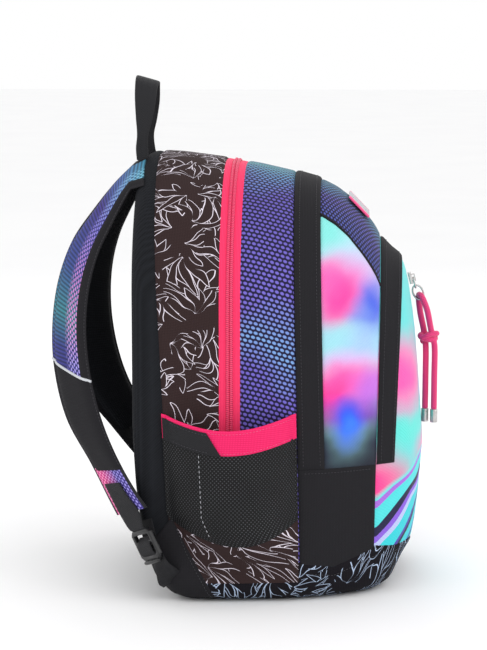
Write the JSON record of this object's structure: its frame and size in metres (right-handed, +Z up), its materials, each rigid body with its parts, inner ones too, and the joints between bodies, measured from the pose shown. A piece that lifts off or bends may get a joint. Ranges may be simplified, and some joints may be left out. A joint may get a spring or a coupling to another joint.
{
  "type": "school backpack",
  "caption": "Arched school backpack with main, second and front zip compartments, side net pockets, padded shoulder straps, grab handle and a corded zip pull.",
  "frame": {"origin": "middle of the flat base, on the surface the bag stands on", "axes": "+Z up, -Y towards the front pocket, +Y towards the shoulder straps, -X towards the wearer's left side"},
  "size_m": [0.3584, 0.396, 0.5165],
  "materials": {
    "black_fabric": "matt woven polyester",
    "leaf_print": "matt woven polyester with fine outlined leaves",
    "base_print": "matt woven polyester with fine outlined leaves",
    "pink_zip": "woven tape with a moulded coil",
    "purple_mesh": "knitted spacer mesh, printed",
    "dye_print": "satin polyester with a blended print",
    "face_print": "satin polyester with a blended, striped print",
    "pocket_mesh": "open knitted net",
    "pink_elastic": "knitted elastic band",
    "badge": "moulded soft badge",
    "board": "plain sheet",
    "lining": "plain woven lining",
    "buckle_plastic": "moulded acetal",
    "metal": "polished nickel plate",
    "pink_cord": "braided round cord"
  },
  "bodies": {
    "bag": {"back_panel": "black_fabric", "second_zip_flap": "black_fabric", "front_zip_flap": "black_fabric", "lower_panel_left": "black_fabric", "lower_panel_right": "black_fabric", "wing_left": "black_fabric", "wing_right": "black_fabric", "side_pocket_tab_left": "black_fabric", "side_pocket_tab_right": "black_fabric", "rear_gusset": "leaf_print", "side_pocket_foot_left": "leaf_print", "side_pocket_foot_right": "leaf_print", "base_boot": "base_print", "main_zip_tape_rear": "pink_zip", "main_zip_coil": "pink_zip", "main_zip_tape_front": "pink_zip", "second_zip": "pink_zip", "front_zip": "pink_zip", "mesh_gusset": "purple_mesh", "ribbed_top": "purple_mesh", "side_panel_left": "dye_print", "side_panel_right": "dye_print", "front_pocket_face": "face_print", "side_pocket_mesh_left": "pocket_mesh", "side_pocket_mesh_right": "pocket_mesh", "side_pocket_elastic_left": "pink_elastic", "side_pocket_elastic_right": "pink_elastic", "badge": "badge", "back_board": "board", "base_board": "board", "laptop_sleeve": "lining", "compartment_divider": "lining", "front_pocket_lining": "lining"},
    "handle": {"grab_handle": "black_fabric"},
    "strap_left": {"shoulder_strap_left": "purple_mesh", "strap_end_left": "purple_mesh", "strap_tab_left": "black_fabric"},
    "lock_left": {"ladder_lock_left": "buckle_plastic"},
    "webbing_left": {"lower_webbing_left": "black_fabric"},
    "strap_right": {"shoulder_strap_right": "purple_mesh", "strap_end_right": "purple_mesh", "strap_tab_right": "black_fabric"},
    "lock_right": {"ladder_lock_right": "buckle_plastic"},
    "webbing_right": {"lower_webbing_right": "black_fabric"},
    "upper_slider": {"main_upper_slider": "metal"},
    "upper_pull": {"main_upper_pull": "metal"},
    "lower_slider": {"main_lower_slider": "metal"},
    "lower_pull": {"main_lower_pull": "metal"},
    "second_slider": {"second_slider": "metal"},
    "second_pull": {"second_pull": "metal"},
    "front_slider": {"front_slider": "metal"},
    "front_link": {"front_pull_link": "metal"},
    "cord_pull": {"front_pull_ring": "metal", "pull_cord_loop": "pink_cord", "pull_cord_knot": "pink_cord", "pull_cord_leg_front": "pink_cord", "pull_cord_leg_rear": "pink_cord", "pull_cord_end_front": "metal", "pull_cord_end_rear": "metal"}
  },
  "joints": [
    {"name": "handle_fold", "type": "hinge", "parent": "bag", "child": "handle", "pos_m": [0, 0.101, 0.4415], "axis": [1, 0, 0], "range_deg": [-20, 75]},
    {"name": "strap_swing_left", "type": "hinge", "parent": "bag", "child": "strap_left", "pos_m": [-0.057, 0.104, 0.418], "axis": [1, 0, 0], "range_deg": [0, 10], "deforming": ["lower_webbing_left"]},
    {"name": "lock_tilt_left", "type": "hinge", "parent": "strap_left", "child": "lock_left", "pos_m": [-0.15891, 0.09267, 0.07395], "axis": [0.7461, 0.5762, -0.3336], "range_deg": [0, 30]},
    {"name": "webbing_swing_left", "type": "hinge", "parent": "bag", "child": "webbing_left", "pos_m": [-0.1556, 0.0665, 0.0285], "axis": [1, 0, 0], "range_deg": [-35, 0]},
    {"name": "strap_swing_right", "type": "hinge", "parent": "bag", "child": "strap_right", "pos_m": [0.057, 0.104, 0.418], "axis": [1, 0, 0], "range_deg": [0, 10], "deforming": ["lower_webbing_right"]},
    {"name": "lock_tilt_right", "type": "hinge", "parent": "strap_right", "child": "lock_right", "pos_m": [0.15891, 0.09267, 0.07395], "axis": [0.7461, -0.5762, 0.3336], "range_deg": [0, 30]},
    {"name": "webbing_swing_right", "type": "hinge", "parent": "bag", "child": "webbing_right", "pos_m": [0.1556, 0.0665, 0.0285], "axis": [1, 0, 0], "range_deg": [-35, 0]},
    {"name": "upper_slider_run", "type": "slide", "parent": "bag", "child": "upper_slider", "axis": [0, 0, 1], "range_m": [0, 0.055]},
    {"name": "upper_pull_swing", "type": "hinge", "parent": "upper_slider", "child": "upper_pull", "pos_m": [0.15607, 0.006, 0.222], "axis": [0, -1, 0], "range_deg": [0, 70]},
    {"name": "lower_slider_run", "type": "slide", "parent": "bag", "child": "lower_slider", "axis": [0, 0, -1], "range_m": [0, 0.06]},
    {"name": "lower_pull_swing", "type": "hinge", "parent": "lower_slider", "child": "lower_pull", "pos_m": [0.15607, 0.006, 0.209], "axis": [0, -1, 0], "range_deg": [0, 24]},
    {"name": "second_slider_run", "type": "slide", "parent": "bag", "child": "second_slider", "axis": [0, 0, 1], "range_m": [-0.05, 0.055]},
    {"name": "second_pull_swing", "type": "hinge", "parent": "second_slider", "child": "second_pull", "pos_m": [0.13813, -0.09465, 0.214], "axis": [-0.3511, -0.9363, 0], "range_deg": [0, 90]},
    {"name": "front_slider_run", "type": "slide", "parent": "bag", "child": "front_slider", "axis": [1, 0, 0], "range_m": [-0.012, 0.012]},
    {"name": "front_link_swing", "type": "hinge", "parent": "front_slider", "child": "front_link", "pos_m": [0, -0.17576, 0.30913], "axis": [-1, 0, 0], "range_deg": [0, 60]},
    {"name": "cord_swing", "type": "hinge", "parent": "front_link", "child": "cord_pull", "pos_m": [0, -0.17841, 0.29844], "axis": [-1, 0, 0], "range_deg": [0, 60]}
  ],
  "couplings": [
    {"joint": "webbing_swing_left", "follows": "strap_swing_left", "ratio": -3.5},
    {"joint": "webbing_swing_right", "follows": "strap_swing_right", "ratio": -3.5}
  ]
}
